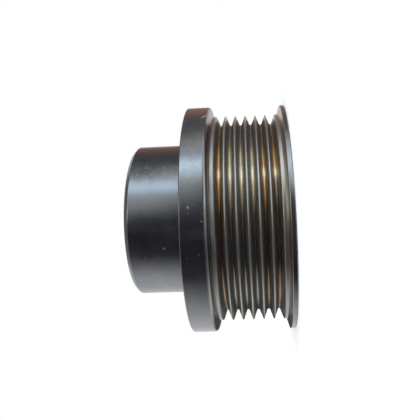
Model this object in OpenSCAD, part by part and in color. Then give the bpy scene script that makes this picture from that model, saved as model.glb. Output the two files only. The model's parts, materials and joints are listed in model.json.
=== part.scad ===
// Solid alternator pulley for a six-rib belt: one turned steel piece.
// It stands on its front flange. The Z axis is the bore axis, Z = 0 is the front face,
// and the spacer boss that meets the alternator is on top.

/* [Overall] */
// Length over everything, from the front face to the end of the boss
overall_len = 55; // [46:0.5:70]

/* [Belt grooves] */
// Number of V grooves, one for each rib of the belt
groove_count = 6; // [3:1:6]
// Distance from one groove to the next, 3.56 for the common automotive belt
groove_pitch = 3.56; // [3.40:0.02:3.70]
// Included angle of a groove
groove_angle = 40; // [36:1:44]
// Diameter over the rib tips
rib_tip_d = 73.4; // [64:0.2:76]
// Radius that rounds a rib's tip
rib_tip_r = 0.27; // [0.20:0.01:0.40]
// Radius at the bottom of a groove
groove_root_r = 0.5; // [0.20:0.01:0.50]

/* [Flanges] */
// Outside diameter of the front flange
front_flange_d = 79.8; // [79:0.2:90]
// Outside diameter of the rear flange
rear_flange_d = 80.8; // [79:0.2:90]
// Width of the front flange's straight rim
front_rim_w = 1.6; // [1:0.1:3]
// Width of the rear flange at its rim, to the sharp corner
rear_flange_w = 8.1; // [4:0.1:9]
// Slope of the flanges' belt sides, from a flat face
flange_slope = 16; // [12:1:30]
// Width of the land between each flange and the nearest groove
land_w = 0.85; // [0.2:0.05:1.0]
// Radius that rounds the rear flange's belt-side corner
rear_corner_r = 1.2; // [0.4:0.1:1.4]
// Chamfer on the flanges' outer edges
flange_chamfer = 0.3; // [0.2:0.1:0.6]

/* [Boss] */
// Diameter of the spacer boss
boss_d = 53.6; // [44:0.2:62]
// Chamfer round the boss's end
boss_chamfer = 1.6; // [0.5:0.1:2.0]
// Fillet where the boss meets the rear flange
boss_fillet_r = 0.5; // [0.2:0.1:1.0]

/* [Bore and nut recess] */
// Diameter of the shaft bore
bore_d = 17; // [15:0.5:22]
// Chamfer at both ends of the bore
bore_chamfer = 0.8; // [0.3:0.1:1.5]
// Diameter of the recess that takes the shaft nut
recess_d = 46; // [36:1:50]
// Depth of the recess from the front face
recess_depth = 18; // [10:1:24]
// Fillet round the recess floor
recess_fillet_r = 2; // [0.5:0.5:3]
// Chamfer round the mouth of the recess
recess_chamfer = 1; // [0.5:0.1:2.0]

/* [Hidden] */
$fn = 180;

// Straight pieces in each small rounding of the section
arc_steps = 6;
// The cutters reach this far past the faces that they open
clear = 1;

front_flange_r = front_flange_d / 2;
rear_flange_r = rear_flange_d / 2;
tip_r = rib_tip_d / 2;
boss_r = boss_d / 2;
bore_r = bore_d / 2;
recess_r = recess_d / 2;

// A groove's flanks lean half the included angle from the radius. Sharp flanks would meet
// groove_pitch / 2 / tan(flank) deep, and each rounding takes radius * (1 / sin(flank) - 1) off.
flank = groove_angle / 2;
groove_depth = groove_pitch / 2 / tan(flank) - (rib_tip_r + groove_root_r) * (1 / sin(flank) - 1);
root_r = tip_r - groove_depth;
// Angle of the surface normal on a flank, where the roundings run out
flank_normal = 90 - flank;

// Heights of the features, from the front face up
front_land_z = front_rim_w + (front_flange_r - tip_r) * tan(flange_slope);
grooves_z = front_land_z + land_w;
grooves_top_z = grooves_z + groove_count * groove_pitch;
rear_land_z = grooves_top_z + land_w;
rear_corner_z = rear_land_z + (rear_flange_r - tip_r) * tan(flange_slope);
rear_face_z = rear_corner_z + rear_flange_w;

// Points along an arc of radius r about centre c, from angle from_a to angle to_a
function arc(c, r, from_a, to_a) =
    [for (i = [0:arc_steps]) let (a = from_a + (to_a - from_a) * i / arc_steps) c + r * [cos(a), sin(a)]];

// Rounded bottom of the groove whose middle is at height z, passed from its lower flank to its upper
function groove_root(z) =
    arc([root_r + groove_root_r, z], groove_root_r, 180 + flank_normal, 180 - flank_normal);

// Rounded tip of the rib at height z, passed from its lower flank to its upper
function rib_tip(z) = arc([tip_r - rib_tip_r, z], rib_tip_r, -flank_normal, flank_normal);

// Grooves and the ribs between them, from the front land to the rear flange
function groove_points() = [
    each arc([tip_r - rib_tip_r, grooves_z], rib_tip_r, 0, flank_normal),
    for (k = [0:groove_count - 1]) each [
        each groove_root(grooves_z + (k + 0.5) * groove_pitch),
        if (k < groove_count - 1) each rib_tip(grooves_z + (k + 1) * groove_pitch)
    ],
    each arc([tip_r - rib_tip_r, grooves_top_z], rib_tip_r, -flank_normal, 0)
];

// Front flange: face, rim and sloping belt side, out to the land
function front_flange_points() = [
    [0, 0],
    [front_flange_r - flange_chamfer, 0],
    [front_flange_r, flange_chamfer],
    [front_flange_r, front_rim_w],
    [tip_r, front_land_z]
];

// Rear flange: land, sloping belt side, rounded corner and rim, then its flat rear face
function rear_flange_points() = [
    [tip_r, rear_land_z],
    each arc([rear_flange_r - rear_corner_r, rear_corner_z + rear_corner_r * tan((90 - flange_slope) / 2)],
             rear_corner_r, flange_slope - 90, 0),
    [rear_flange_r, rear_face_z - flange_chamfer],
    [rear_flange_r - flange_chamfer, rear_face_z]
];

// Boss: fillet at the flange, straight side and chamfered end
function boss_points() = [
    each arc([boss_r + boss_fillet_r, rear_face_z + boss_fillet_r], boss_fillet_r, -90, -180),
    [boss_r, overall_len - boss_chamfer],
    [boss_r - boss_chamfer, overall_len],
    [0, overall_len]
];

// Half section of the blank, radius across and height up
module blank_section() {
    polygon(concat(front_flange_points(), groove_points(), rear_flange_points(), boss_points()));
}

// Half section of the nut recess: chamfered mouth, straight wall and filleted floor
module recess_section() {
    polygon([
        [0, -clear],
        [recess_r + recess_chamfer + clear, -clear],
        [recess_r, recess_chamfer],
        each arc([recess_r - recess_fillet_r, recess_depth - recess_fillet_r], recess_fillet_r, 0, 90),
        [0, recess_depth]
    ]);
}

// Shaft bore with a chamfer at each end
module shaft_bore() {
    translate([0, 0, -clear]) cylinder(r = bore_r, h = overall_len + 2 * clear);
    translate([0, 0, recess_depth])
        cylinder(r1 = bore_r + bore_chamfer, r2 = bore_r, h = bore_chamfer);
    translate([0, 0, overall_len - bore_chamfer])
        cylinder(r1 = bore_r, r2 = bore_r + bore_chamfer + clear, h = bore_chamfer + clear);
}

module pulley() {
    color([0.27, 0.27, 0.28])
    difference() {
        rotate_extrude() blank_section();
        rotate_extrude() recess_section();
        shaft_bore();
    }
}

pulley();
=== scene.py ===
# %% [markdown]
# # A six-rib alternator pulley
# The object is one piece of steel, turned on a lathe, blackened, and then worn bare where the belt
# and the hands of fitters touch it. This script dresses it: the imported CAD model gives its
# place and its box, and the cells below work out a finer surface, a finish, the light and the camera.

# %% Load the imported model
import json
import math

import bpy
import numpy as np
from mathutils import Matrix, Vector


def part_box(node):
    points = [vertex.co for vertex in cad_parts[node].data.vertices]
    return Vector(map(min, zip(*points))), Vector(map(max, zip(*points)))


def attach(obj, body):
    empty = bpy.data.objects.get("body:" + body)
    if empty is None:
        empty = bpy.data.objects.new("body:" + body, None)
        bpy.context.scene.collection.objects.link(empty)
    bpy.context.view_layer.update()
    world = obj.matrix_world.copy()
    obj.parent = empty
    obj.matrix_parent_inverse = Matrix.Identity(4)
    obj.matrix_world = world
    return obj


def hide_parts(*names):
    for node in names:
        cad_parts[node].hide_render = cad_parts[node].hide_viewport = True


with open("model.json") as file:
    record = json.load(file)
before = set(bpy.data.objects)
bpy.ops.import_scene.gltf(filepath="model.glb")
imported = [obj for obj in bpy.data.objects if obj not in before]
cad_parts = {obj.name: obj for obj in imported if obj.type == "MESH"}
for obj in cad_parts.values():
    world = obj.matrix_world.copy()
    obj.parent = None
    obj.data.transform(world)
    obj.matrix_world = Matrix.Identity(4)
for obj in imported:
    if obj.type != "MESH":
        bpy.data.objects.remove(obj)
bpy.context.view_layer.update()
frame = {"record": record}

# %% [markdown]
# ## Sizes
# Blender works in metres. The outside sizes are read from the CAD node's box, the bore from the
# record's mounts, and the rest repeats the driving dimensions of the CAD source in millimetres.

# %% Driving dimensions
MM = 0.001
low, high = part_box("pulley")
rear_flange_r = (high[0] - low[0]) / 2 / MM
overall_len = (high[2] - low[2]) / MM
mounts = {mount["name"]: mount for mount in frame["record"]["mounts"]}
bore_r = mounts["shaft_bore"]["dims"]["r_mm"]
recess_r = mounts["nut_recess"]["dims"]["r_mm"]
recess_depth = mounts["nut_seat"]["pos_m"][2] / MM

groove_count, groove_pitch, groove_angle = 6, 3.56, 40
tip_r, rib_tip_round, groove_root_round = 36.7, 0.27, 0.5
front_flange_r, front_rim_w, rear_flange_w = 39.9, 1.6, 8.1
flange_slope, land_w, rear_corner_round, flange_chamfer = math.radians(16), 0.85, 1.2, 0.3
boss_r, boss_chamfer, boss_fillet = 26.8, 1.6, 0.5
bore_chamfer, recess_chamfer, recess_fillet = 0.8, 1.0, 2.0
print(f"{overall_len:.1f} mm long, {2 * rear_flange_r:.1f} mm over the rear flange")

# %% [markdown]
# ## Heights along the axis
# Z = 0 is the front face that the part stands on. Going up come the thin front flange, a narrow flat
# land, the grooves, a second land, the thick rear flange and the boss. A groove's flanks would meet
# in a sharp apex, and each rounding takes radius * (1 / sin(flank) - 1) off its depth.

# %% Heights and groove depth
flank = math.radians(groove_angle / 2)
apex_gain = 1 / math.sin(flank) - 1
groove_depth = groove_pitch / 2 / math.tan(flank) - (rib_tip_round + groove_root_round) * apex_gain
root_r = tip_r - groove_depth
front_land_z = front_rim_w + (front_flange_r - tip_r) * math.tan(flange_slope)
grooves_z = front_land_z + land_w
grooves_top_z = grooves_z + groove_count * groove_pitch
rear_land_z = grooves_top_z + land_w
rear_corner_z = rear_land_z + (rear_flange_r - tip_r) * math.tan(flange_slope)
rear_face_z = rear_corner_z + rear_flange_w
print(f"groove depth {groove_depth:.2f} mm, grooves from z = {grooves_z:.2f} to {grooves_top_z:.2f} mm")

# %% [markdown]
# ## The camera
# The photo lies on its side: its left is up here, and its top is the +X side. A camera was fitted
# to the pulley's outline, which gave the eye's place, two small angles, the focal length in
# pixels and the pixel that the lens points at. The lens shift moves that pixel off the middle.

# %% Camera
photo_px = 420
eye_mm = (24.31, -188.29, 12.27)
nod, roll = -0.057, -0.045
focal_px = 507.4
aim_px = (222.5, 150.5)

right = Vector((math.sin(roll), -math.sin(nod) * math.cos(roll), -math.cos(nod) * math.cos(roll)))
down = Vector((-math.cos(roll), -math.sin(nod) * math.sin(roll), -math.cos(nod) * math.sin(roll)))
ahead = right.cross(down)

camera = bpy.data.objects.new("camera", bpy.data.cameras.new("camera"))
bpy.context.scene.collection.objects.link(camera)
bpy.context.scene.camera = camera
turn = Matrix((right, -down, -ahead)).transposed()
camera.matrix_world = Matrix.Translation(Vector(eye_mm) * MM) @ turn.to_4x4()
camera.data.sensor_width = 36.0
camera.data.lens = camera.data.sensor_width * focal_px / photo_px
camera.data.shift_x = (photo_px / 2 - aim_px[0]) / photo_px
camera.data.shift_y = (aim_px[1] - photo_px / 2) / photo_px
camera.data.clip_start, camera.data.clip_end = 0.005, 50
print("camera looks along", tuple(round(v, 3) for v in ahead))

# %% [markdown]
# ## One helper for every rounded outline
# A lathe leaves an outline of straight cuts whose corners are rounded by the tool's nose. So the
# half section is a list of sharp corners, each with its own radius, and one formula swaps all the
# corners for arcs at once. The same formula gives the exact surface normal at every point.

# %% Rounded outline
ARC_POINTS = 9


def rounded_outline(corners, radii):
    """Swaps each sharp corner of a closed outline for an arc that touches both its sides.

    With unit vectors a and b from the corner to its neighbours and t the angle between them, the
    arc's centre lies radius / sin(t / 2) along a + b, and it turns through 180 degrees minus t,
    from the side of a to the side of b. Points are centre + radius * (cos, sin), and the
    normal is the arc's own radius, turned round where the corner is hollow.
    """
    corners, radii = np.array(corners, float), np.array(radii, float)[:, None, None]
    to_prev = np.roll(corners, 1, axis=0) - corners
    to_next = np.roll(corners, -1, axis=0) - corners
    a = to_prev / np.linalg.norm(to_prev, axis=1, keepdims=True)
    b = to_next / np.linalg.norm(to_next, axis=1, keepdims=True)
    half = np.arccos(np.clip((a * b).sum(axis=1), -1, 1)) / 2
    middle = (a + b) / np.linalg.norm(a + b, axis=1, keepdims=True)
    centre = corners[:, None] + radii * (middle / np.sin(half)[:, None])[:, None]
    bulge = np.sign(a[:, 0] * b[:, 1] - a[:, 1] * b[:, 0])
    sweep = np.linspace(-1, 1, ARC_POINTS)[None] * (math.pi / 2 - half)[:, None] * -bulge[:, None]
    out = np.arctan2(-middle[:, 1], -middle[:, 0])[:, None] + sweep
    spokes = np.stack([np.cos(out), np.sin(out)], axis=2)
    points = centre + radii * spokes
    normals = spokes * -bulge[:, None, None]
    return points.reshape(-1, 2), normals.reshape(-1, 2)


print("each corner gets", ARC_POINTS, "points")

# %% [markdown]
# ## The half section
# Everything on this part is round about one axis, so its whole shape is one half section. The list
# goes round it corner by corner, with the steel on the left. Beside its place each corner has the
# radius that rounds it, how far its edge is rubbed bright, and how bare the face after it is.
# A V groove needs only its two sharp corners: the radii cut them back to the real depth.

# %% Corners of the half section
EDGE_ROUND = 0.08
land_turn = rib_tip_round * math.tan((math.pi / 2 - flank) / 2)
sharp_tip_r = tip_r + rib_tip_round * apex_gain
sharp_root_r = root_r - groove_root_round * apex_gain


def groove_corners():
    """Root, tip, root and so on up the grooves: the k-th root lies at half a pitch plus k pitches."""
    for k in range(groove_count):
        yield sharp_root_r, grooves_z + (k + 0.5) * groove_pitch, groove_root_round, 0.0, 0.0
        if k < groove_count - 1:
            yield sharp_tip_r, grooves_z + (k + 1) * groove_pitch, rib_tip_round, 1.0, 0.0


# Radius, height, rounding, wear of the edge, and bareness of the face up to the next corner
section = np.array([
    # Front face and thin front flange
    (recess_r + recess_chamfer, 0, EDGE_ROUND, 0.5, 0.5),
    (front_flange_r - flange_chamfer, 0, EDGE_ROUND, 0.5, 0.1),
    (front_flange_r, flange_chamfer, EDGE_ROUND, 0.3, 0.15),
    (front_flange_r, front_rim_w, 0.25, 0.3, 0.5),
    # Land, grooves and land
    (tip_r, front_land_z, EDGE_ROUND, 0.0, 0.75),
    (tip_r, grooves_z + land_turn, rib_tip_round, 0.4, 0.4),
    *groove_corners(),
    (tip_r, grooves_top_z - land_turn, rib_tip_round, 1.0, 0.85),
    (tip_r, rear_land_z, EDGE_ROUND, 0.0, 0.15),
    # Thick rear flange
    (rear_flange_r, rear_corner_z, rear_corner_round, 0.95, 0.0),
    (rear_flange_r, rear_face_z - flange_chamfer, 0.2, 0.1, 0.05),
    (rear_flange_r - flange_chamfer, rear_face_z, 0.2, 0.1, 0.0),
    # Boss, whose end chamfer has two soft corners
    (boss_r, rear_face_z, boss_fillet, 0.0, 0.0),
    (boss_r, overall_len - boss_chamfer, 0.5, 0.0, 0.0),
    (boss_r - boss_chamfer, overall_len, 1.8, 0.1, 0.7),
    # Bore and nut recess
    (bore_r + bore_chamfer, overall_len, EDGE_ROUND, 0.5, 0.5),
    (bore_r, overall_len - bore_chamfer, EDGE_ROUND, 0.5, 1.0),
    (bore_r, recess_depth + bore_chamfer, EDGE_ROUND, 0.5, 0.5),
    (bore_r + bore_chamfer, recess_depth, EDGE_ROUND, 0.5, 0.7),
    (recess_r, recess_depth, recess_fillet, 0.0, 0.0),
    (recess_r, recess_chamfer, EDGE_ROUND, 0.3, 0.4),
])
outline, outline_normals = rounded_outline(section[:, :2], section[:, 2])
print(len(section), "corners become", len(outline), "points")

# %% [markdown]
# ## Bareness along the outline
# Blackening wears off where the belt runs and where edges get knocked. Across the arc of a corner
# the bareness passes evenly from the face before to the face after, and the edge's own wear is added
# as a smooth hump. It could be painted by hand, but one number for each point of the outline says
# the same in one line, and it follows every change of the sizes.

# %% Bareness
def bareness(edge_wear, face_after):
    """Before + (after - before) * t + wear * sin(180 degrees * t) squared, t from 0 to 1 on an arc."""
    t = np.linspace(0, 1, ARC_POINTS)[None]
    before, after = np.roll(face_after, 1)[:, None], face_after[:, None]
    hump = edge_wear[:, None] * np.sin(math.pi * t) ** 2
    return np.clip(before + (after - before) * t + hump, 0, 1).ravel()


bare = bareness(section[:, 3], section[:, 4])
print("share of the outline that is bare:", round(float((bare > 0.5).mean()), 2))

# %% [markdown]
# ## A mesh from a grid
# Every surface here is a grid of points: one direction runs round the axis, the other along an
# outline. One helper turns such a grid into a mesh, closed in either direction when asked.
# Ready-made Screw or Spin tools would do the same, but a grid keeps the order of the points
# known, so that normals and other numbers can be handed over with them.

# %% Grid to mesh
def grid_mesh(name, points, closed=(False, False)):
    """Makes quads between neighbours of a (rows, columns, 3) grid, in metres.

    Quad (i, j) joins points (i, j), (i + 1, j), (i + 1, j + 1) and (i, j + 1), with the indices
    taken modulo the grid's size, which closes it in the directions that are asked for.
    """
    rows, columns = points.shape[:2]
    i = np.arange(rows if closed[0] else rows - 1)[:, None]
    j = np.arange(columns if closed[1] else columns - 1)[None]
    row, next_row, next_j = i * columns, (i + 1) % rows * columns, (j + 1) % columns
    quads = np.stack([row + j, next_row + j, next_row + next_j, row + next_j], axis=2)
    mesh = bpy.data.meshes.new(name)
    mesh.from_pydata(points.reshape(-1, 3), [], quads.reshape(-1, 4))
    mesh.polygons.foreach_set("use_smooth", np.ones(len(mesh.polygons), bool))
    mesh.update()
    piece = bpy.data.objects.new(name, mesh)
    bpy.context.scene.collection.objects.link(piece)
    print(f"{name}: {rows} by {columns} points")
    return piece


def turned(radii, heights, angles):
    """Carries an outline round the Z axis: (radius * cos, radius * sin, height) for every angle.

    The angles are one for each step round, or one for each step and each point of the outline.
    """
    angles = np.reshape(angles, (len(angles), -1))
    return np.stack([radii * np.cos(angles), radii * np.sin(angles), heights + 0 * angles], axis=2)


def hand_over(mesh, name, values):
    """Stores one number for each point of the mesh, where a material can read it by name."""
    numbers = mesh.attributes.new(name, "FLOAT", "POINT")
    numbers.data.foreach_set("value", values.astype(np.float32).ravel())

# %% [markdown]
# ## The pulley
# The outline is carried round in 320 steps, a number that divides by four, so that the mesh touches
# all four sides of the CAD box. The normals go with it, because on long faces between two
# small arcs Blender's own averages would shade a straight cylinder as if it bulged.

# %% Pulley
ROUND_STEPS = 320
steps_round = np.arange(ROUND_STEPS) * 2 * math.pi / ROUND_STEPS
surface = turned(outline[:, 0] * MM, outline[:, 1] * MM, steps_round)
pulley = grid_mesh("pulley_turned", surface, closed=(True, True))
point_normals = turned(outline_normals[:, 0], outline_normals[:, 1], steps_round)
pulley.data.normals_split_custom_set_from_vertices(point_normals.reshape(-1, 3))
hand_over(pulley.data, "bare", np.broadcast_to(bare, (ROUND_STEPS, len(bare))))
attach(pulley, "root")
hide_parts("pulley")
print(2 * len(pulley.data.polygons), "triangles")

# %% [markdown]
# ## Weighing the mesh
# A closed mesh can be checked by its volume. Every face adds a third of its area times its distance
# from the origin along its own normal. The sum is the volume of the solid, and it comes out
# negative where the faces point inwards.

# %% Volume
quads = pulley.data.polygons
facings, middles, areas = np.empty((len(quads), 3)), np.empty((len(quads), 3)), np.empty(len(quads))
quads.foreach_get("normal", facings.ravel())
quads.foreach_get("center", middles.ravel())
quads.foreach_get("area", areas)
volume = (facings * middles).sum(axis=1) @ areas / 3
print(f"{volume * 1e6:.1f} cubic centimetres of steel")

# %% [markdown]
# ## Shader maths as plain sums
# Nodes are easier to read as a formula. The first class wraps one output socket, and its operators
# add Math nodes. The second builds a material and has one method for any other node. The Mix node
# has sockets for numbers, vectors and colours, so the colour ones are named by their places.

# %% Shader helpers
MIX_FACTOR, MIX_FIRST, MIX_SECOND, MIX_COLOUR = 0, 6, 7, 2


class Tone:
    """A number that varies over a surface."""

    def __init__(self, finish, socket):
        self.finish, self.socket = finish, socket

    def math(self, operation, *values):
        return self.finish.node("Math", {"operation": operation}, dict(enumerate(values)))

    def __add__(self, other):
        return self.math("ADD", self, other)

    def __sub__(self, other):
        return self.math("SUBTRACT", self, other)

    def __rsub__(self, other):
        return self.math("SUBTRACT", other, self)

    def __mul__(self, other):
        return self.math("MULTIPLY", self, other)

    def __pow__(self, other):
        return self.math("POWER", self, other)

    __radd__, __rmul__ = __add__, __mul__

    def or_more(self, other):
        return self.math("MAXIMUM", self, other)

    def rise(self, start, stop):
        """0 below start, 1 above stop, and a smooth step between; it falls where stop is lower."""
        if stop < start:
            return 1 - self.rise(stop, start)
        return self.finish.node("MapRange", {"interpolation_type": "SMOOTHSTEP"},
                                {"Value": self, "From Min": start, "From Max": stop})


class Finish:
    """The nodes of a new material or world."""

    def __init__(self, owner):
        owner.use_nodes = True
        self.owner, self.tree = owner, owner.node_tree
        self.tree.nodes.clear()

    def node(self, kind, settings, sockets, output=0):
        """Adds a node, sets its settings, then its sockets, and returns one of its outputs."""
        node = self.tree.nodes.new("ShaderNode" + kind)
        for key, value in settings.items():
            setattr(node, key, value)
        for key, value in sockets.items():
            if isinstance(value, Tone):
                self.tree.links.new(value.socket, node.inputs[key])
            else:
                node.inputs[key].default_value = value
        return Tone(self, node.outputs[output])

    def blend(self, factor, first, second):
        """Mixes two colours: first * (1 - factor) + second * factor."""
        sockets = {MIX_FACTOR: factor}
        for key, colour in ((MIX_FIRST, first), (MIX_SECOND, second)):
            sockets[key] = colour if isinstance(colour, Tone) else (*colour, 1.0)
        return self.node("Mix", {"data_type": "RGBA"}, sockets, output=MIX_COLOUR)

    def done(self, shader, end="OutputMaterial"):
        """Links the shader to the last node and returns the material or world."""
        output = self.tree.nodes.new("ShaderNode" + end)
        self.tree.links.new(shader.socket, output.inputs["Surface"])
        print(f"{self.owner.name}: {len(self.tree.nodes)} nodes")
        return self.owner

# %% [markdown]
# ## Nicks from the photo
# A few bright nicks and one scratch sit at known pixels. Each is a ray from the eye through its
# pixel, followed to the round wall that it hits, so that the mark stays on the steel from every
# side. Beside its pixel each nick has how bright it is, and the scratch is a row of nicks.

# %% Nick places
boss_nicks_px = [(162.4, 247.7, 0.4), (163.8, 248.3, 0.4), (145, 257, 0.15)]
flange_nicks_px = [
    (187, 206.6, 0.5), (187.8, 207.6, 0.35), (187, 213, 0.15), (192, 204, 0.12),
    (201, 221, 0.4), (198, 254, 0.25), (186, 258, 0.12),
]
flange_scratch_px = [
    (201.5, 117, 0.8), (202.8, 116.2, 1.2), (204.1, 115.6, 1.2), (205.4, 115, 1.2),
    (206.8, 114.6, 0.8),
]


def on_wall(pixel, wall_r):
    """The nearer root of |eye + t * ray| = wall radius across the axis, in millimetres."""
    eye, ray = Vector(eye_mm), ahead * focal_px
    ray = ray + right * (pixel[0] + 0.5 - aim_px[0]) + down * (pixel[1] + 0.5 - aim_px[1])
    a, b, c = ray.xy.length_squared, eye.xy.dot(ray.xy), eye.xy.length_squared - wall_r ** 2
    return eye + ray * ((-b - math.sqrt(b * b - a * c)) / a)


nicks = [(on_wall(pixel, boss_r), shine) for *pixel, shine in boss_nicks_px]
nicks += [(on_wall(pixel, rear_flange_r), shine)
          for *pixel, shine in flange_nicks_px + flange_scratch_px]
print(len(nicks), "nicks, the first at", tuple(round(v, 1) for v in nicks[0][0]), "mm")

# %% [markdown]
# ## Blackened steel: the place on it
# Hot black oxide is a thin skin over bright metal: still a metal to light, only darker, and a
# little soft. An image could be wrapped round the part, but its colour really depends on a few plain
# things: the height along the axis, the distance from it, and the side of the part, which carries wear
# from handling and painted light and shade.
# So the finish starts from the place in millimetres: z runs along the axis, r is the distance
# from it, and x is up in the photo, from -40 at the lower rim to 40 at the upper one.

# %% Place on the steel
steel = Finish(bpy.data.materials.new("blackened_turned_steel"))
place = steel.node("TexCoord", {}, {}, output="Object")
place = steel.node("VectorMath", {"operation": "SCALE"}, {0: place, "Scale": 1 / MM})
x, y, z = (steel.node("SeparateXYZ", {}, {0: place}, output=axis) for axis in "XYZ")
r = (x * x + y * y) ** 0.5
print("the place takes", len(steel.tree.nodes), "nodes")

# %% [markdown]
# ## Patches, mottle, grain and rings
# No bath blackens evenly. Large soft patches make the skin thicker and thinner, a mottle gathers
# haze and specks, and a fine grain breaks up the edge of every reflection. The rings that the lathe
# leaves are noise as well, but over radius and height alone, so that they run round the part.

# %% Noise
def noise(scale, detail, where=place):
    """Smooth noise about 0.5, with scale waves to the millimetre and finer waves by detail."""
    return steel.node("TexNoise", {}, {"Vector": where, "Scale": scale, "Detail": detail}, output="Fac")


PATCH_WAVES, MOTTLE_WAVES, GRAIN_WAVES, RING_WAVES = 0.12, 0.45, 1.5, 3.0
patches, mottle, grain = noise(PATCH_WAVES, 4.0), noise(MOTTLE_WAVES, 5.0), noise(GRAIN_WAVES, 2.0)
RING_WANDER = 0.3
ring_place = steel.node("CombineXYZ", {}, {"X": r, "Y": z, "Z": patches * RING_WANDER})
rings = noise(RING_WAVES, 1.0, ring_place)
print(f"a wave of the grain is about {1 / GRAIN_WAVES:.1f} mm, of the rings {1 / RING_WAVES:.1f} mm")

# %% [markdown]
# ## Zones of the part
# Each zone is a product of smooth steps, 1 inside and 0 outside. Real edges of wear are soft, so
# the steps have a width, and a pair of numbers in capitals says where a step along x starts and
# stops. The grooves end short of the wall inside the part. The slope is the rear flange's belt
# side, and the corner takes in its rounded edge too. The bottoms reach higher up the flanks in the
# upper half, as the tint there does.

# %% Zones
CRISP, SOFT, HIGHER_TINT = 0.1, 0.3, 0.25
UPPER_HALF, SLOPE_TOP, TINT_END = (-6, 5), (32.3, 34.3), (32, 26)

above_grooves = z.rise(grooves_top_z - SOFT, grooves_top_z)
below_grooves = z.rise(grooves_z + SOFT, grooves_z)
in_grooves = z.rise(grooves_z - CRISP, grooves_z + CRISP)
in_grooves = in_grooves * z.rise(grooves_top_z + CRISP, grooves_top_z - CRISP)
in_grooves = in_grooves * r.rise(recess_r + 1, recess_r + 2)

corner = z.rise(rear_land_z - 0.5, rear_land_z - 0.25) * z.rise(rear_corner_z + 3, rear_corner_z + 2)
slope = z.rise(rear_land_z, rear_land_z + CRISP) * z.rise(rear_corner_z + 0.4, rear_corner_z + CRISP)
# The top of the slope gets a painted sheen, a reflection put into its colour.
sheen_on_slope_top = slope * x.rise(*SLOPE_TOP)

in_upper_half = x.rise(*UPPER_HALF)
bottom = (r - in_upper_half * HIGHER_TINT).rise(root_r + 0.3, root_r + 0.05)
# Near the upper rim the bottoms end and take the darker flank colour: painted shade.
bottom = in_grooves * bottom * x.rise(*TINT_END)
print(len(steel.tree.nodes), "nodes after the zones")

# %% [markdown]
# ## Nicks and painted glints
# A nick is a small bright spot that fades out at its reach. A dent in the mesh would need far
# finer quads for marks of a pixel or two, so a colour does. The specks are painted glints in a
# belt across the boss, where the edge of a bright reflection breaks up: the mottle gathers them, and
# the grain picks them out.

# %% Nicks and painted glints
NICK_REACH = 0.43
nicked = 0
for centre, shine in nicks:
    away = steel.node("VectorMath", {"operation": "DISTANCE"}, {0: place, 1: centre}, output="Value")
    nicked = away.rise(NICK_REACH, NICK_REACH * 0.3) * shine + nicked

# Painted glints: bright spots of bare steel colour that stand in for broken-up reflections.
FAINT_SPECK_GLINTS, CLEAR_SPECK_GLINTS = 0.12, 0.4
SPECK_GLINTS_FROM, SPECK_GLINTS_TO = (13.5, 15.5), (22, 19)
speck_glints = mottle.rise(0.45, 0.65) * FAINT_SPECK_GLINTS
speck_glints = speck_glints + grain.rise(0.58, 0.72) * mottle.rise(0.42, 0.62) * CLEAR_SPECK_GLINTS
speck_glints = speck_glints * z.rise(rear_face_z, rear_face_z + 2) * x.rise(*SPECK_GLINTS_FROM) * x.rise(*SPECK_GLINTS_TO)
print(len(steel.tree.nodes), "nodes after the nicks and specks")

# %% [markdown]
# ## Where the steel is rubbed bare
# The bareness worked out along the outline comes in as an attribute. The belt rubs the ribs a
# little down their flanks as well. Light falls unevenly on the bright bands, so painted shade dulls
# them place by place, and it makes all of them fade downwards. Both lands and the rear flange's rounded
# edge fade more near the ends of their arcs, and painted shade leaves that edge bright only below the
# middle.

# %% Rubbed steel
TIP_WEAR_END, TIP_WEAR_FULL = 1.2, 0.4
GRAIN_SHARE, LOWER_SHARE, LOWER_FADE = 0.15, 0.6, (-35, -14)
bare_here = steel.node("Attribute", {"attribute_name": "bare"}, {}, output="Fac")
rubbed = bare_here.or_more(in_grooves * r.rise(tip_r - TIP_WEAR_END, tip_r - TIP_WEAR_FULL))
rubbed = rubbed * (1 - GRAIN_SHARE + grain.rise(0.35, 0.6) * GRAIN_SHARE)
# Painted shade: the bare steel fades towards the lower rim.
rubbed = rubbed * (1 - LOWER_SHARE + x.rise(*LOWER_FADE) * LOWER_SHARE)

# Painted shade dulls the lands and the rear flange's rounded edge near the ends of their arcs.
UPPER_DULL, FRONT_DULL, CORNER_DULL = 0.5, 0.6, 0.75
UPPER_END, LOWER_END, FRONT_END, CORNER_END = (16, 27), (-23, -35), (-22, -35), (8, 16)
shade_dulled = (x.rise(*UPPER_END) * UPPER_DULL).or_more(x.rise(*LOWER_END))
rubbed = rubbed * (1 - above_grooves * shade_dulled)
rubbed = rubbed * (1 - below_grooves * x.rise(*FRONT_END) * FRONT_DULL)
rubbed = rubbed * (1 - corner * x.rise(*CORNER_END) * CORNER_DULL)
# Bright steel: real wear and nicks, plus the painted glints and the painted sheen on the slope.
bright = rubbed.or_more(nicked).or_more(speck_glints).or_more(sheen_on_slope_top)
print(len(steel.tree.nodes), "nodes after the wear")

# %% [markdown]
# ## The black skin
# The skin is a dark blue grey, and paler where it is thin. Painted shade makes it nearly black in a
# band high on the boss and on the slope, and a dry haze lies on the upper part of the rear flange. In
# the grooves the belt has taken the skin off and left dull dark steel.

# %% Black skin
OXIDE, OXIDE_THIN, OXIDE_SHADED = (0.22, 0.235, 0.255), (0.255, 0.26, 0.27), (0.13, 0.12, 0.12)
HAZE, FLANK_STEEL = (0.33, 0.32, 0.30), (0.27, 0.26, 0.25)
SHADE_ON_BOSS, HAZE_SHARE = 0.5, 0.4
BOSS_SHADE_BAND, SLOPE_SHADE_BAND, HAZE_FROM = (19.5, 22.5), (10, 20), (12, 16)

colour = steel.blend(patches.rise(0.4, 0.65), OXIDE, OXIDE_THIN)
on_boss = z.rise(rear_face_z, rear_face_z + 1)
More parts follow.
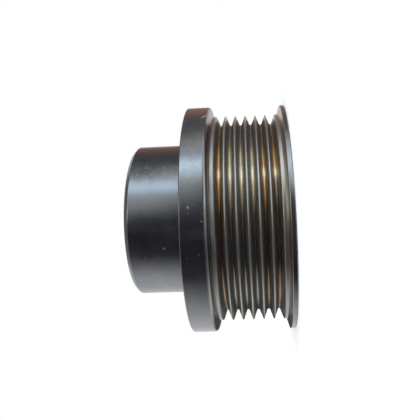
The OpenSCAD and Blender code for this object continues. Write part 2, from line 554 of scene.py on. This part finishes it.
# Painted shade: a darker skin colour in a band high on the boss and on the slope.
colour = steel.blend(on_boss * x.rise(*BOSS_SHADE_BAND) * SHADE_ON_BOSS, colour, OXIDE_SHADED)
colour = steel.blend(slope * x.rise(*SLOPE_SHADE_BAND), colour, OXIDE_SHADED)
on_rim = z.rise(rear_corner_z, rear_corner_z + 2) * z.rise(rear_face_z, rear_face_z - 0.5)
hazy = mottle.rise(0.46, 0.62) * on_rim * x.rise(*HAZE_FROM) * HAZE_SHARE
colour = steel.blend(hazy, colour, HAZE)
colour = steel.blend(in_grooves, colour, FLANK_STEEL)
print(len(steel.tree.nodes), "nodes after the skin")

# %% [markdown]
# ## The bare steel
# Rubbed steel isn't one grey. It is warm on the front land and on the upper part of the rear
# one, where the belt left a brown film. A faintly green painted highlight lies on a patch of the rear
# land, and a cool painted sheen, a reflection put into the colour, lies on the top of the slope.

# %% Bare steel
BARE_STEEL, WARM_STEEL = (0.54, 0.53, 0.49), (0.64, 0.55, 0.45)
LAND_HIGHLIGHT, SHEEN_COLOUR = (0.88, 0.93, 0.80), (0.70, 0.73, 0.75)
WARM_FRONT, WARM_REAR = (-28, -8), (9, 14)
LAND_HIGHLIGHT_FROM, LAND_HIGHLIGHT_TO = (-8, 3), (14, 8)

warm = (below_grooves * x.rise(*WARM_FRONT)).or_more(above_grooves * x.rise(*WARM_REAR))
# Painted highlight: a bright, faintly green patch on the rear land.
land_highlight = above_grooves * z.rise(rear_corner_z + 1.5, rear_corner_z)
land_highlight = land_highlight * x.rise(*LAND_HIGHLIGHT_FROM) * x.rise(*LAND_HIGHLIGHT_TO)
bare_steel = steel.blend(warm, BARE_STEEL, WARM_STEEL)
# Painted sheen: a cool pale colour on the top of the slope.
bare_steel = steel.blend(sheen_on_slope_top, bare_steel, SHEEN_COLOUR)
bare_steel = steel.blend(land_highlight, bare_steel, LAND_HIGHLIGHT)
colour = steel.blend(bright, colour, bare_steel)
print(len(steel.tree.nodes), "nodes after the bare steel")

# %% [markdown]
# ## Straw and bronze in the groove bottoms
# A rib of the belt never touches the bottom of its groove. Bare steel there keeps a thin film that
# shows straw at first and bronze as it thickens. The groove next to the rear flange and the two
# next to the front one are bronze, the three between them straw. Both are dull low down and gain
# their colour in two steps on the way up. The groove nearest to the front flange is dull again
# just under its highlight, and the bronze ones have a pale painted glint, a highlight put into their
# colour.

# %% Groove bottoms
BRONZE, STRAW, PAINTED_GLINT = (0.62, 0.42, 0.21), (0.72, 0.64, 0.50), (0.78, 0.68, 0.52)
DULL_BRONZE, PALE_STEEL = (0.32, 0.26, 0.23), (0.36, 0.39, 0.39)
LOW_TINT, UPPER_TINT, FRONT_FADE, GLINT_SHARE = 0.4, 0.6, 0.9, 0.6
LOW_STEP, FADE_FROM, FADE_TO = (-32, -20), (0, 6), (20, 12)
GLINT_FROM, GLINT_TO = (15, 16.5), (19, 17.5)

front_groove_end, front_pair_end = grooves_z + groove_pitch, grooves_z + 2 * groove_pitch
rear_groove_start = grooves_top_z - groove_pitch
bronze = z.rise(front_pair_end + CRISP, front_pair_end - CRISP)
bronze = bronze + z.rise(rear_groove_start - CRISP, rear_groove_start + CRISP)

tinted = x.rise(*LOW_STEP) * LOW_TINT + in_upper_half * UPPER_TINT
front_groove = z.rise(front_groove_end + CRISP, front_groove_end - CRISP)
tinted = tinted * (1 - front_groove * x.rise(*FADE_FROM) * x.rise(*FADE_TO) * FRONT_FADE)
dull, vivid = steel.blend(bronze, PALE_STEEL, DULL_BRONZE), steel.blend(bronze, STRAW, BRONZE)
tint = steel.blend(tinted, dull, vivid)
# Painted glint: a pale highlight put into the colour of the bronze bottoms.
painted_glint = bronze * x.rise(*GLINT_FROM) * x.rise(*GLINT_TO) * GLINT_SHARE
tint = steel.blend(painted_glint, tint, PAINTED_GLINT)
colour = steel.blend(bottom, colour, tint)
print(len(steel.tree.nodes), "nodes after the tint")

# %% [markdown]
# ## Dust
# Belt dust makes a small share of the flanks matt. On the ribs most of it clings just under the
# tips, and a fresh nick is matt too. A metal has no matt colour of its own, so that share is
# what isn't metallic.

# %% Metal share
DUST, TIP_MATT, UNDER_TIP_MATT, NICK_MATT = 0.045, 0.03, 0.07, 0.25
flanks = in_grooves * (1 - bottom) * (1 - bright)
rib_matt = TIP_MATT + r.rise(tip_r - 0.1, tip_r - 0.3) * UNDER_TIP_MATT
matt = (flanks * DUST).or_more(bright * in_grooves * rib_matt).or_more(nicked * NICK_MATT)
metallic = 1 - matt
print("up to", NICK_MATT, "matt")

# %% [markdown]
# ## How rough it is
# The skin on a fine turned face is fairly smooth, and a little rougher in patches. Rubbed steel is
# rougher, above all outside the grooves, where tools and hands scratched it. The flanks, where
# the belt runs, are nearly as rough as that. The bottoms are the smoothest, because nothing
# has touched them since the lathe.

# %% Roughness
FLANGE_ROUGH, BOSS_ROUGH, PATCH_ROUGH = 0.23, 0.26, 0.04
TIP_ROUGH, LAND_ROUGH, FLANK_ROUGH, BOTTOM_ROUGH = 0.35, 0.50, 0.46, 0.14

outside = z.rise(grooves_top_z - 1, grooves_top_z) + below_grooves * 0.5
rubbed_rough = TIP_ROUGH + outside * (LAND_ROUGH - TIP_ROUGH)
skin_rough = z.rise(rear_face_z - 0.2, rear_face_z + 0.2) * (BOSS_ROUGH - FLANGE_ROUGH) + FLANGE_ROUGH
roughness = skin_rough + patches.rise(0.3, 0.7) * PATCH_ROUGH + bright * (rubbed_rough - skin_rough)
roughness = roughness.or_more(flanks * FLANK_ROUGH) + bottom * (BOTTOM_ROUGH - skin_rough)
print(len(steel.tree.nodes), "nodes after the roughness")

# %% [markdown]
# ## The finished steel
# Two bumps go on top, each a few thousandths of a millimetre high: the rings of the lathe and then
# the grain. They are far too fine for the mesh, so they only tilt the surface for the light.

# %% Steel shader
RING_HEIGHT, GRAIN_HEIGHT = 0.004 * MM, 0.006 * MM
bump = steel.node("Bump", {}, {"Height": rings, "Distance": RING_HEIGHT})
bump = steel.node("Bump", {}, {"Height": grain, "Distance": GRAIN_HEIGHT, "Normal": bump})
shader = steel.node("BsdfPrincipled", {}, {
    "Base Color": colour, "Metallic": metallic, "Roughness": roughness, "Normal": bump})
pulley.data.materials.append(steel.done(shader))

# %% [markdown]
# ## Background and floor
# The photo's background is plain white. The world is white where the camera or a reflection
# looks, and a plain level where it lights the floor. The floor is a wide pale disc, which catches a
# soft shadow under the part.

# %% World
WORLD_LEVEL = 1.4


def white_world():
    """Strength is 1 for camera, glossy and transmission rays, and the plain level for all others."""
    white = Finish(bpy.data.worlds.new("white_studio"))
    seen = [white.node("LightPath", {}, {}, output=kind)
            for kind in ("Is Camera Ray", "Is Glossy Ray", "Is Transmission Ray")]
    seen = seen[0].or_more(seen[1]).or_more(seen[2])
    strength = WORLD_LEVEL + seen * (1 - WORLD_LEVEL)
    shader = white.node("Background", {}, {"Color": (1, 1, 1, 1), "Strength": strength})
    return white.done(shader, "OutputWorld")


bpy.context.scene.world = white_world()
bpy.context.scene.view_settings.view_transform = "Standard"

# %% Floor
FLOOR_R, FLOOR_COLOUR, DISC_STEPS = 3.0, (0.9, 0.9, 0.9), 96


def disc(name, outline):
    """Carries an open outline of (radius, height), in metres, all the way round the axis."""
    angles = np.linspace(0, 2 * math.pi, DISC_STEPS, endpoint=False)
    return grid_mesh(name, turned(outline[:, 0], outline[:, 1], angles), closed=(True, False))


floor = disc("floor", np.array([(0, 0), (0.05, 0), (0.2, 0), (1, 0)]) * FLOOR_R)
pale = Finish(bpy.data.materials.new("pale_floor"))
floor.data.materials.append(pale.done(pale.node("BsdfDiffuse", {}, {"Color": (*FLOOR_COLOUR, 1)})))

# %% [markdown]
# ## A studio for reflections
# Metal has no colour of its own to light up: it shows what stands round it. So a photographer
# lights it with cards, and this studio does too. A card is an outline, up a wall or out along the
# floor, swept from one heading to another. Only reflections see it, so that it neither hides the
# part nor shades the floor. Its ends fade, as a card's edge does when it is out of focus.

# %% Headings
CARD_R = 1.0
MIRROR_SHARE = 0.45


def heading(degrees, away=CARD_R):
    """Turns a heading into an angle round Z: 0 is towards the camera (-Y), 90 is the photo's top (+X).

    The spot of the rim that mirrors a heading lies at 0.45 of it, because the eye is near. The ray
    leaves from that spot and runs straight, so at a distance away it has turned by less, by
    asin(rim radius / away * sin(0.55 * heading)).
    """
    lag = np.arcsin(front_flange_r * MM / away * np.sin(np.radians((1 - MIRROR_SHARE) * degrees)))
    return np.radians(degrees - 90) - lag


print("the photo's top is at", round(math.degrees(heading(90)), 1), "degrees round Z")

# %% Cards that only reflections see
FOOT_LIFT, LAYER_GAP = 0.00002, 0.004


def only_reflected(piece, paint):
    """Gives a studio piece its paint and hides it from everything but reflections."""
    piece.data.materials.append(paint)
    piece.visible_camera = piece.visible_diffuse = False
    piece.visible_transmission = piece.visible_shadow = False


def glowing(name, colour):
    """A paint that glows evenly with its own colour."""
    paint = Finish(bpy.data.materials.new(name))
    return paint, paint.node("Emission", {}, {"Color": (*colour, 1)})


def studio_card(name, start, stop, fades, colour, outline, layer=0):
    """An outline of (radius, height) swept from one heading to another, which fades at both ends.

    Cover is the least of t / first fade, (span - t) / last fade and 1. Either heading may be a list
    with one value for each point of the outline, so that the edge leans. Higher layers lie in front.
    """
    t = np.linspace(0, 1, 61)[:, None]
    span = np.mean(stop) - np.mean(start)
    radii, heights = outline[:, 0] * (1 - LAYER_GAP * layer), outline[:, 1] + layer * FOOT_LIFT
    around = heading((1 - t) * start + t * stop + 0 * radii, radii)
    card = grid_mesh(name, turned(radii, heights, around))
    cover = np.clip(np.minimum(t * span / fades[0], (1 - t) * span / fades[1]), 0, 1)
    hand_over(card.data, "cover", np.broadcast_to(cover, around.shape))
    paint, glow = glowing(name, colour)
    cover_here = paint.node("Attribute", {"attribute_name": "cover"}, {}, output="Fac")
    clear = paint.node("BsdfTransparent", {}, {})
    only_reflected(card, paint.done(paint.node("MixShader", {}, {0: cover_here, 1: clear, 2: glow})))

# %% [markdown]
# ## The tall cards
# The photo's dark middle is a dark card round the camera, the grey band above it a grey card
# with a lid, and the brown upper rim a warm card beyond. Each runs up a wall and in along the floor,
# because the flanges' belt sides look down at the floor. Low on the wall a card stops at one
# heading and high up at another, since the boss mirrors the wall higher up than the flange does.

# %% Tall cards
foot = np.array([(out, FOOT_LIFT) for out in (0.0402, 0.043, 0.05, 0.065, 0.1, 0.2, CARD_R)])
wall = np.array([(CARD_R, up) for up in (0.0, 0.15, 0.25, 0.33, 0.60, 1.20)])
lid = np.array([(0.6, 1.3), (0.1, 1.4)])

# Headings in degrees, in the order of the outline: 7 along the foot, then 6 up the wall, 2 on the lid
front_start = np.array([-104] * 7 + [-104, -104, -90, -90, -90, -90])
front_stop = np.array([51, 51, 51, 51, 56, 58, 58] + [58, 50, 33, 30, 30, 21])
side_start = np.array([86, 86, 86, 86, 90, 90, 90] + [90, 79, 58, 60, 60, 60] + [60, 60])
side_stop = np.array([156, 156, 156, 156, 140, 140, 140] + [156] * 6 + [156] * 2)
warm_stop = np.array([168] * 7 + [168, 168, 168, 166])

studio_card("front_card", front_start, front_stop, fades=(46, 28), colour=(0.018, 0.013, 0.024),
            outline=np.concatenate([foot, wall]))
studio_card("side_card", side_start, side_stop, fades=(20, 10), colour=(0.20, 0.195, 0.205),
            outline=np.concatenate([foot, wall, lid]))
studio_card("warm_card", 128, warm_stop, fades=(12, 8), colour=(0.43, 0.235, 0.175),
            outline=np.concatenate([foot, wall[:4]]), layer=1)

# %% [markdown]
# ## Small cards near the part
# A low dark card beside the part stands in for the shade under it and darkens the lower end of the
# arcs. The flanges' belt sides show the
# floor round the part: in front it glows faintly on the dark card's foot, and under the softbox it
# is bright and cool.

# %% Small cards
studio_card("low_card", -200, -105, fades=(15, 40), colour=(0.08, 0.07, 0.07),
            outline=np.array([(0.05, 0.003), (0.05, 0.025)]))
studio_card("floor_glow", -40, 60, fades=(50, 20), colour=(0.095, 0.09, 0.10),
            outline=foot[:5], layer=1)
studio_card("softbox_foot", 28, 88, fades=(26, 18), colour=(1.50, 1.75, 1.95),
            outline=foot[:4], layer=2)

# %% [markdown]
# ## White floor and grey ceiling
# Under the cards' feet lies a white disc, so that steel that looks down sees the white of the
# floor. Above everything hangs a grey ceiling, which keeps the end of the boss from turning white.

# %% Floor and ceiling in reflections
paint, glow = glowing("floor_reflected", (1, 1, 1))
only_reflected(disc("floor_reflected", foot * (1, 0.5)), paint.done(glow))

ceiling_outline = np.array([(1.01, 1.20), (0.6, 1.45), (0.0, 1.50)])
paint, glow = glowing("ceiling", (0.3, 0.29, 0.3))
only_reflected(disc("ceiling", ceiling_outline), paint.done(glow))

# %% [markdown]
# ## Lamps
# A cool softbox at the side makes the bright band on every round face. A narrow bulb in its middle
# gives the hard core in the smooth groove bottoms, and a small lamp high up lights the edges and
# the nicks. A lamp that is evenly bright gives pi * area * brightness watts, so the brightness is
# what is chosen here.

# %% Softboxes
def softbox(name, towards, away, lift, size, glow, colour):
    """A rectangle that faces the part from a heading. Power is pi * area * the brightness wanted."""
    lamp = bpy.data.lights.new(name, "AREA")
    lamp.shape = "RECTANGLE"
    lamp.size, lamp.size_y = size
    lamp.color = colour
    lamp.energy = math.pi * lamp.size * lamp.size_y * glow
    box = bpy.data.objects.new(name, lamp)
    bpy.context.scene.collection.objects.link(box)
    around = heading(towards)
    box.location = Vector((math.cos(around), math.sin(around), 0)) * away + Vector((0, 0, lift))
    box.rotation_euler = box.location.to_track_quat("Z", "Y").to_euler()
    print(f"{name} of {lamp.energy:.2f} W")


softbox("softbox", towards=58, away=0.90, lift=0.30, size=(0.32, 0.80), glow=1.15,
        colour=(0.64, 1.03, 1.36))
softbox("high_lamp", towards=18, away=0.80, lift=0.70, size=(0.25, 0.25), glow=6.0,
        colour=(1.0, 1.07, 1.0))
softbox("bulb", towards=57, away=0.88, lift=0.30, size=(0.08, 0.60), glow=0.8,
        colour=(1.0, 1.0, 1.0))
